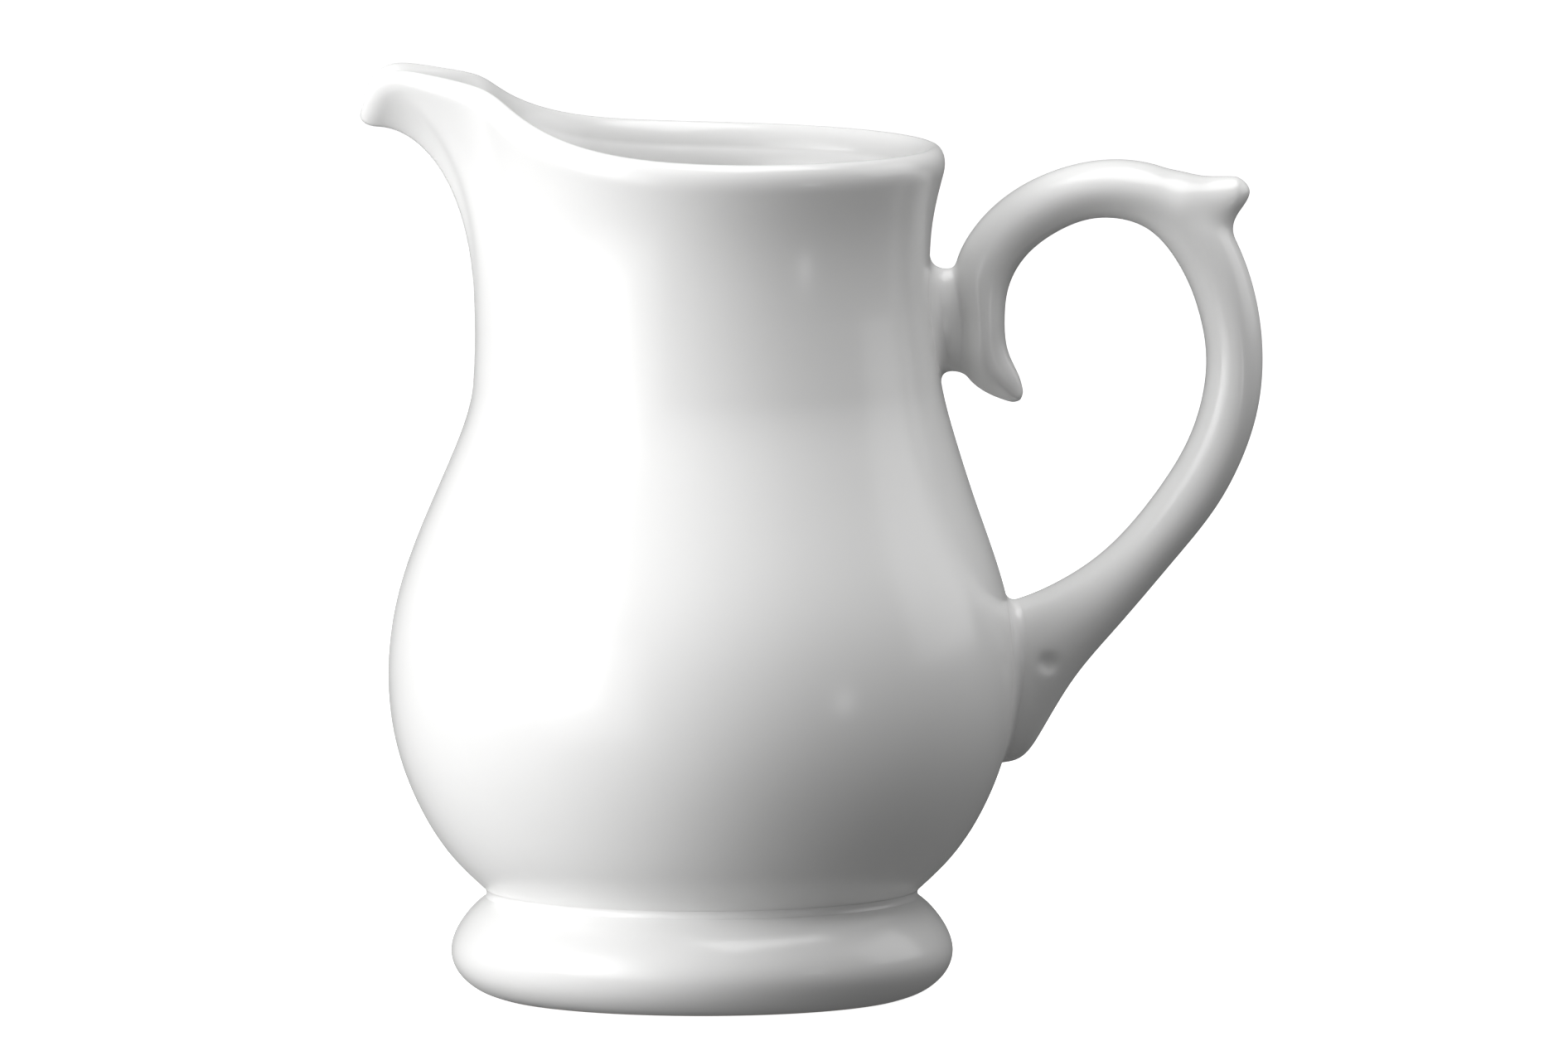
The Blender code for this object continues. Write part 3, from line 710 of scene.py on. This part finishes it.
def lip_rings(angles):
    """Rings over the rounded lip, from its outer side to its inner side."""
    point, normal, up = outer_frame(angles, 2.0)
    wall = wall_thickness(angles, 2.0)[..., None]
    rings = []
    for turn in np.linspace(0, math.pi, LIP_ROWS + 1)[1:]:
        side = LIP_CREST if turn < math.pi / 2 else 1 - LIP_CREST
        across = side * math.cos(turn) - LIP_CREST
        rings.append(point + wall * (across * normal + LIP_ROLL * math.sin(turn) * up))
    return rings


# ---- foot -------------------------------------------------------------------------------------

STEP_SEARCH_SHARE = 0.3     # share of a curve that is searched for a point on it
STEP_SEARCH_POINTS = 200
FOOT_SLIP_LIFT = 0.02       # the slip's edges stand this far off the glaze
FOOT_WAIST_CLEARANCE = 0.01         # and its corner this far outside the bowl's waist
FOOT_FILLET_POINTS = 10
FOOT_FILM_POINTS = 8
FOOT_RECESS_LEG = 1.0       # how far the slip in the recess runs down the foot's inner side
FOOT_RECESS_WALL_SHARE = 0.93       # and the share of that side's curve where it ends
FOOT_RECESS_CORNER_DROP = 0.1


def make_foot():
    """Foot ring, glazed all over but for its standing ring."""
    outer = FOOT_OUTER_CURVE(np.linspace(0, 1, FOOT_OUTER_POINTS))
    inner = FOOT_INNER_CURVE(np.linspace(0, 1, FOOT_INNER_POINTS))
    middle = (outer[-1] + inner[0]) / 2
    profile = np.concatenate((outer, [middle], inner))
    rings = turned_points(profile, FOOT_SEGMENTS)
    faces = ring_faces(FOOT_SEGMENTS, len(profile), wrap=True)
    piece = new_piece("foot_china", rings, faces,
                      glaze_material("foot_glaze"), bare_china_material())
    bare_below = FOOT_LOW.z + BARE_RING_HEIGHT * MM
    for face in piece.data.polygons:
        if face.center.z < bare_below:
            face.material_index = 1
    stand_for(piece, "foot")


def curve_step(curve, start, reach):
    """Point on a curve of (radius, height) at a distance from its start."""
    points = curve(np.linspace(0, STEP_SEARCH_SHARE, STEP_SEARCH_POINTS))
    distance = np.linalg.norm(points - start, axis=1)
    return points[int(np.argmin(np.abs(distance - reach)))]


def make_foot_slip():
    """Slip between bowl and foot: a film with a small fillet outside and in the recess."""
    foot_edge = np.array(FOOT_OUTER_PROFILE[0])
    on_foot = curve_step(FOOT_OUTER_CURVE, foot_edge, FOOT_SLIP_LEG)
    bowl_height = WAIST_HEIGHT + FOOT_SLIP_CLIMB * FOOT_SLIP_LEG
    on_bowl = np.array((float(BOWL_CURVE(bowl_height)), bowl_height))
    lift = np.array((FOOT_SLIP_LIFT, FLUSH))
    drop = np.array((FOOT_SLIP_LIFT, -FLUSH))
    outside = bezier(on_foot + lift, np.array(FOOT_SLIP_CREASE), on_bowl + drop, FOOT_FILLET_POINTS)
    film_top = []
    for radius in np.linspace(UNDERSIDE_EDGE_RADIUS, FOOT_FILM_INNER_RADIUS, FOOT_FILM_POINTS):
        film_top.append((radius, underside_height(radius) - FLUSH))
    inner_radius, inner_height = FOOT_INNER_PROFILE[-1]
    corner_height = underside_height(inner_radius) - FOOT_RECESS_CORNER_DROP
    corner = np.array((inner_radius - FOOT_SLIP_LIFT, corner_height))
    wall_radius = float(FOOT_INNER_CURVE(FOOT_RECESS_WALL_SHARE)[0])
    on_wall = np.array((wall_radius - FLUSH, inner_height - FOOT_RECESS_LEG))
    recess = bezier(np.array(film_top[-1]), corner, on_wall, FOOT_FILM_POINTS)[1:]
    film_bottom = [(inner_radius, inner_height + FLUSH), (foot_edge[0], foot_edge[1] + FLUSH)]
    waist = [(WAIST_RADIUS + FOOT_WAIST_CLEARANCE, WAIST_HEIGHT - FLUSH)]
    profile = [*outside, *waist, *film_top, *recess, *film_bottom]
    rings = turned_points(profile, FOOT_SEGMENTS)
    faces = ring_faces(FOOT_SEGMENTS, len(profile), wrap=True)
    piece = new_piece("foot_slip", rings, faces, glaze_material("foot_slip_glaze"))
    stand_for(piece, "slip_joint_foot")


# ---- handle -----------------------------------------------------------------------------------

TOUCHING = 1e-6             # closer than this a point is on the skin
LONGEST_PULL = 0.5          # a point is moved no further than this at a time
FLATTEST_SLOPE = 0.25       # smallest squared slope of the blended distance that is trusted
RELAX_FACTOR = 0.5
REMESH_RELAX_ROUNDS = 8
RELAX_CYCLES = 2
RELAX_ROUNDS = 4
DIMPLE_BLUNTNESS = 2.6
DIMPLE_REACH = 3            # in radii of the dimple
CUTTER_COLUMNS = 360
CUTTER_ROWS = np.linspace(0.08, 1.7, 150)      # rows of the outer wall that the cutter covers


class Solid:
    """A closed skin that says how far points are outside it."""

    def __init__(self, points, faces):
        self.points = points
        self.faces = faces
        self.tree = BVHTree.FromPolygons(points.tolist(), faces)

    def distance(self, points):
        """Signed distance, positive outside, and its direction of growth."""
        away = np.zeros(len(points))
        slope = np.zeros((len(points), 3))
        for i, point in enumerate(points.tolist()):
            place, normal, _, _ = self.tree.find_nearest(point)
            offset = Vector(point) - place
            outside = 1 if offset.dot(normal) >= 0 else -1
            away[i] = outside * offset.length
            slope[i] = outside * offset.normalized() if offset.length > TOUCHING else normal
        return away, slope


def swept_solid(surface, sections):
    """Solid of a surface(turn, along), with its ends closed to points."""
    turns = np.linspace(0, 2 * math.pi, SWEEP_SIDES, endpoint=False)[None, :]
    along = (1 - np.cos(np.linspace(0, math.pi, sections)))[:, None] / 2
    rings = surface(turns, along)
    return Solid(*outward(*closed_rings(rings, rings[0].mean(axis=0), rings[-1].mean(axis=0))))


def outward(points, faces):
    """The skin with its faces turned out."""
    corners = np.array([face[:3] for face in faces])
    first, second, third = (points[corners[:, i]] - points.mean(axis=0) for i in range(3))
    if np.sum(first * np.cross(second, third)) < 0:
        faces = [face[::-1] for face in faces]
    return points, faces


def soft_union(first, second, width):
    """Distance and slope of two shapes joined with a soft corner of the given width."""
    away_a, slope_a = first
    away_b, slope_b = second
    share = np.clip(0.5 + 0.5 * (away_b - away_a) / width, 0, 1)
    away = away_b + (away_a - away_b) * share - width * share * (1 - share)
    slope = slope_b + (slope_a - slope_b) * share[:, None]
    return away, slope


class HandleShape:
    """Scroll, spur and lug, joined with soft corners."""

    def __init__(self):
        self.scroll = swept_solid(handle_surface, SCROLL_SECTIONS)
        self.spur = swept_solid(spur_surface, SPUR_SECTIONS)
        self.lug = swept_solid(lug_surface, LUG_SECTIONS)

    def distance(self, points):
        joined = self.scroll.distance(points)
        joined = soft_union(joined, self.spur.distance(points), SPUR_BLEND)
        return soft_union(joined, self.lug.distance(points), LUG_BLEND)

    def pull(self, points, offset=0.0, rounds=3):
        """Points moved onto the surface, or to a distance outside it."""
        points = points.copy()
        for _ in range(rounds):
            away, slope = self.distance(points)
            size = np.maximum(np.sum(slope ** 2, axis=1), FLATTEST_SLOPE)
            step = np.clip((away - offset) / size, -LONGEST_PULL, LONGEST_PULL)
            points -= step[:, None] * slope
        return points


def merged_skin(solids):
    """Mesh of one skin around overlapping solids, from a voxel remesh."""
    points = []
    faces = []
    for solid in solids:
        base = sum(len(part) for part in points)
        points.append(solid.points)
        faces += [tuple(i + base for i in face) for face in solid.faces]
    mesh = bpy.data.meshes.new("rough_handle")
    mesh.from_pydata(np.concatenate(points).tolist(), [], faces)
    rough = bpy.data.objects.new("rough_handle", mesh)
    bpy.context.scene.collection.objects.link(rough)
    remesh = rough.modifiers.new("remesh", "REMESH")
    remesh.mode = "VOXEL"
    remesh.voxel_size = HANDLE_VOXEL
    relax = rough.modifiers.new("relax", "SMOOTH")
    relax.factor = RELAX_FACTOR
    relax.iterations = REMESH_RELAX_ROUNDS
    graph = bpy.context.evaluated_depsgraph_get()
    skin = bpy.data.meshes.new_from_object(rough.evaluated_get(graph))
    bpy.data.objects.remove(rough)
    return skin


def mesh_points(mesh):
    """The mesh's points as rows."""
    points = np.zeros(len(mesh.vertices) * 3)
    mesh.vertices.foreach_get("co", points)
    return points.reshape(-1, 3)


def relaxed(points, edges, rounds):
    """Points moved towards the middle of their neighbours."""
    degree = np.bincount(edges.ravel(), minlength=len(points))[:, None]
    for _ in range(rounds):
        total = np.zeros_like(points)
        np.add.at(total, edges[:, 0], points[edges[:, 1]])
        np.add.at(total, edges[:, 1], points[edges[:, 0]])
        points = points + RELAX_FACTOR * (total / degree - points)
    return points


def press_dimple(points):
    """Presses the shallow round mark into the near side of the tail."""
    offset = np.hypot(points[:, 0] - DIMPLE_X, points[:, 2] - DIMPLE_Z)
    near = (points[:, 1] < 0) & (offset < DIMPLE_REACH * DIMPLE_RADIUS)
    depth = DIMPLE_DEPTH * bell(offset, DIMPLE_RADIUS, DIMPLE_BLUNTNESS)
    points[near, 1] += depth[near]


def wall_cutter():
    """Solid a hairline larger than the bowl and neck, to trim the handle's roots to the wall."""
    angles = np.linspace(0, 2 * math.pi, CUTTER_COLUMNS, endpoint=False)
    rings = []
    for row in CUTTER_ROWS:
        point, normal, _ = outer_frame(angles, row)
        rings.append(point + FLUSH * normal)
    points, faces = closed_rings(rings, rings[0].mean(axis=0), rings[-1].mean(axis=0))
    return new_piece("wall_cutter", points, faces)


def make_handle(shape):
    """Scroll handle with its thumb spur and lug in one skin, trimmed to the wall."""
    skin = merged_skin((shape.scroll, shape.spur, shape.lug))
    edges = np.zeros(len(skin.edges) * 2, int)
    skin.edges.foreach_get("vertices", edges)
    edges = edges.reshape(-1, 2)
    points = shape.pull(mesh_points(skin))
    for _ in range(RELAX_CYCLES):
        points = shape.pull(relaxed(points, edges, RELAX_ROUNDS), rounds=2)
    press_dimple(points)
    faces = [tuple(face.vertices) for face in skin.polygons]
    piece = new_piece("handle_china", points, faces, glaze_material("handle_glaze"))
    cutter = wall_cutter()
    trim = piece.modifiers.new("trim", "BOOLEAN")
    trim.operation = "DIFFERENCE"
    trim.object = cutter
    trim.solver = "EXACT"
    graph = bpy.context.evaluated_depsgraph_get()
    trimmed = bpy.data.meshes.new_from_object(piece.evaluated_get(graph))
    piece.modifiers.clear()
    piece.data = trimmed
    bpy.data.objects.remove(cutter)
    stand_for(piece, "handle")


# ---- slip beads -------------------------------------------------------------------------------

ROOT_STEPS = 201
HALVINGS = 30
WALL_PULLS = 4
SHORT_STEP = 1e-3           # step along or around a surface over which directions are measured


def root_line(surface, turns):
    """Where lines along the handle or lug first meet the wall, as shares of their length."""
    steps = np.linspace(1, 0, ROOT_STEPS)
    clear = np.array([body_clearance(surface(turns, step)) > 0 for step in steps])
    first_clear = np.argmax(clear, axis=0)
    outside = steps[first_clear]
    inside = steps[np.maximum(first_clear - 1, 0)]
    for _ in range(HALVINGS):
        middle = (outside + inside) / 2
        free = body_clearance(surface(turns, middle)) > 0
        outside = np.where(free, middle, outside)
        inside = np.where(free, inside, middle)
    return (outside + inside) / 2


def to_wall(points, offset):
    """Points moved to a distance outside the wall."""
    points = points.copy()
    for _ in range(WALL_PULLS):
        points -= (body_clearance(points) - offset)[:, None] * body_normal(points)
    return points


def slip_legs(turns, legs):
    """Leg of a slip bead around a root, from its legs at the top edge, sides and bottom edge."""
    top, side, bottom = legs
    edge = top + (bottom - top) * (1 - np.cos(turns)) / 2
    middle = (top + bottom) / 2
    return edge + (side - middle) * np.sin(turns) ** 2


def make_bead(name, node, shape, surface, legs):
    """Ring of slip in the corner between the handle and the body, hollow faced."""
    turns = np.linspace(0, 2 * math.pi, BEAD_COLUMNS, endpoint=False)
    share = root_line(surface, turns)
    leg = slip_legs(turns, legs)
    root = surface(turns, share)
    back = surface(turns, share - SHORT_STEP) - root
    stride = np.linalg.norm(back, axis=1)
    wall_normal = body_normal(root)
    around = surface(turns + SHORT_STEP, share) - surface(turns - SHORT_STEP, share)
    side = unit(np.cross(around, back))
    middle = (root + surface(turns + math.pi, share)) / 2
    side *= np.sign(dot(side, root - middle))
    away = unit(side - dot(side, wall_normal) * wall_normal)
    on_handle = shape.pull(surface(turns, share - SHORT_STEP * leg / stride), -SLIP_SINK)
    on_body = to_wall(root + leg[:, None] * away, -SLIP_SINK)
    corner = root
    for _ in range(WALL_PULLS):
        corner = to_wall(shape.pull(corner, -SLIP_SINK, rounds=1), -SLIP_SINK)
    arc = bezier(on_handle, corner, on_body, BEAD_ARC_POINTS + 1)
    rings = np.stack([corner, *arc], axis=1)
    faces = ring_faces(BEAD_COLUMNS, rings.shape[1], wrap=True)
    piece = new_piece(name, rings, faces, glaze_material(name + "_glaze"))
    stand_for(piece, node)


# ---- studio -----------------------------------------------------------------------------------

CAMERA_HEIGHT_ANGLE = math.radians(5.85)    # looks down this much
CAMERA_TURN = math.radians(3.3)             # stands this much to the spout's side of square on
CAMERA_LENS = 1150.0
CAMERA_SENSOR = 36.0
FRAME_WIDTH = 252.6         # millimetres of the jug's middle plane across the picture
FRAME_RIGHT = 13.2          # picture centre, right of the vessel's axis and above its foot
FRAME_UP = 75.7
CAMERA_REACH = 50.0         # metres the camera sees
VIEW_MIDDLE = JUG_ORIGIN + np.array((0.0, 0.0, 0.07))
WORLD_LIGHT = 0.107         # faint light from all round
FLOOR_RADIUS = 8.0
FLOOR_SEGMENTS = 96
FLOOR_GLOW = 0.9
FLOOR_NOISE = (3.0, 2.0)
FLOOR_TONES = ((0.78, 0.78, 0.78), (0.8, 0.8, 0.8))
FLOOR_ROUGHNESS = 0.9
LAMP_DISTANCE = 1.2
# Lamps: name, degrees around the jug and above it, distance and size in metres, power in watts.
LAMPS = (
    ("key", -78, 8, LAMP_DISTANCE, (0.7, 0.7), 8.3),
    ("front_key", -60, 12, LAMP_DISTANCE, (0.9, 0.9), 7.4),
    ("overhead", 47, 75, LAMP_DISTANCE, (1.0, 1.0), 12.9),
    ("low_fill", -44, -3, LAMP_DISTANCE, (0.8, 0.7), 2.9),
    ("side", 100, 18, LAMP_DISTANCE, (0.8, 0.7), 2.3),
    ("glint", 49, -6.6, 0.8, (0.08, 0.08), 0.1),
)


def direction_at(turn, climb):
    """Unit vector turned from the jug's front towards the handle, and raised by the climb."""
    level = math.cos(climb)
    return Vector((math.sin(turn) * level, -math.cos(turn) * level, math.sin(climb)))


def make_camera():
    """Long lens, a little above the rim, nearly square to the spout-to-handle plane."""
    forward = -direction_at(-CAMERA_TURN, CAMERA_HEIGHT_ANGLE)
    right = Vector((math.cos(CAMERA_TURN), -math.sin(CAMERA_TURN), 0))
    up = right.cross(forward)
    data = bpy.data.cameras.new("camera")
    data.lens = CAMERA_LENS
    data.sensor_width = CAMERA_SENSOR
    data.clip_end = CAMERA_REACH
    camera = bpy.data.objects.new("camera", data)
    target = Vector(JUG_ORIGIN) + (FRAME_RIGHT * right + FRAME_UP * up) * MM
    distance = FRAME_WIDTH * MM * CAMERA_LENS / CAMERA_SENSOR
    camera.location = target - forward * distance
    camera.rotation_euler = forward.to_track_quat("-Z", "Y").to_euler()
    bpy.context.scene.collection.objects.link(camera)
    bpy.context.scene.camera = camera


def add_lamp(name, side_angle, height_angle, distance, size, power):
    """Soft lamp aimed at the jug. Side angle 0 is in front of it, positive to the handle."""
    direction = direction_at(math.radians(side_angle), math.radians(height_angle))
    data = bpy.data.lights.new(name, "AREA")
    data.shape = "RECTANGLE"
    data.size = size[0]
    data.size_y = size[1]
    data.energy = power
    lamp = bpy.data.objects.new(name, data)
    lamp.location = Vector(VIEW_MIDDLE) + direction * distance
    lamp.rotation_euler = (-direction).to_track_quat("-Z", "Y").to_euler()
    lamp.visible_camera = False
    bpy.context.scene.collection.objects.link(lamp)


def make_world():
    """White surround, with only a faint light of its own on the jug."""
    world = bpy.data.worlds.new("studio")
    net = NodeTree(world)
    backdrop = net.nodes["Background"]
    output = net.nodes["World Output"]
    backdrop.inputs["Color"].default_value = (1, 1, 1, 1)
    ambient = net.add("ShaderNodeBackground", Color=(1, 1, 1, 1), Strength=WORLD_LIGHT)
    mix = net.add("ShaderNodeMixShader")
    seen = net.add("ShaderNodeLightPath").outputs["Is Camera Ray"]
    net.join(seen, mix.inputs["Fac"])
    net.join(ambient.outputs["Background"], mix.inputs[1])
    net.join(backdrop.outputs["Background"], mix.inputs[2])
    net.join(mix.outputs["Shader"], output.inputs["Surface"])
    bpy.context.scene.world = world
    bpy.context.scene.view_settings.view_transform = "Standard"


def make_floor():
    """Wide pale floor that glows faintly and lets light through, like a light table."""
    angles = np.linspace(0, 2 * math.pi, FLOOR_SEGMENTS, endpoint=False)
    points = [(FLOOR_RADIUS * math.cos(a), FLOOR_RADIUS * math.sin(a), FOOT_LOW.z) for a in angles]
    mesh = bpy.data.meshes.new("floor")
    mesh.from_pydata(points, [], [tuple(range(FLOOR_SEGMENTS))])
    material = bpy.data.materials.new("floor")
    net = NodeTree(material)
    shader = net.nodes["Principled BSDF"]
    place = net.add("ShaderNodeTexCoord").outputs["Object"]
    tone = net.blend(net.noise(place, *FLOOR_NOISE), *FLOOR_TONES)
    net.join(tone, shader.inputs["Base Color"])
    shader.inputs["Roughness"].default_value = FLOOR_ROUGHNESS
    shader.inputs["Specular IOR Level"].default_value = 0.0
    shader.inputs["Emission Color"].default_value = (1, 1, 1, 1)
    shader.inputs["Emission Strength"].default_value = FLOOR_GLOW
    mesh.materials.append(material)
    floor = bpy.data.objects.new("floor", mesh)
    bpy.context.scene.collection.objects.link(floor)
    floor.visible_diffuse = False
    floor.visible_glossy = False
    floor.visible_shadow = False


def make_studio():
    """Camera, surround, floor and lamps."""
    make_camera()
    make_world()
    make_floor()
    for lamp in LAMPS:
        add_lamp(*lamp)


def main():
    """Every piece of the jug, and the studio around it."""
    make_body()
    make_foot()
    make_foot_slip()
    shape = HandleShape()
    make_handle(shape)
    make_bead("top_slip", "slip_joint_top", shape, lug_surface, TOP_SLIP_LEGS)
    make_bead("tail_slip", "slip_joint_bottom", shape, handle_surface, TAIL_SLIP_LEGS)
    make_studio()


main()
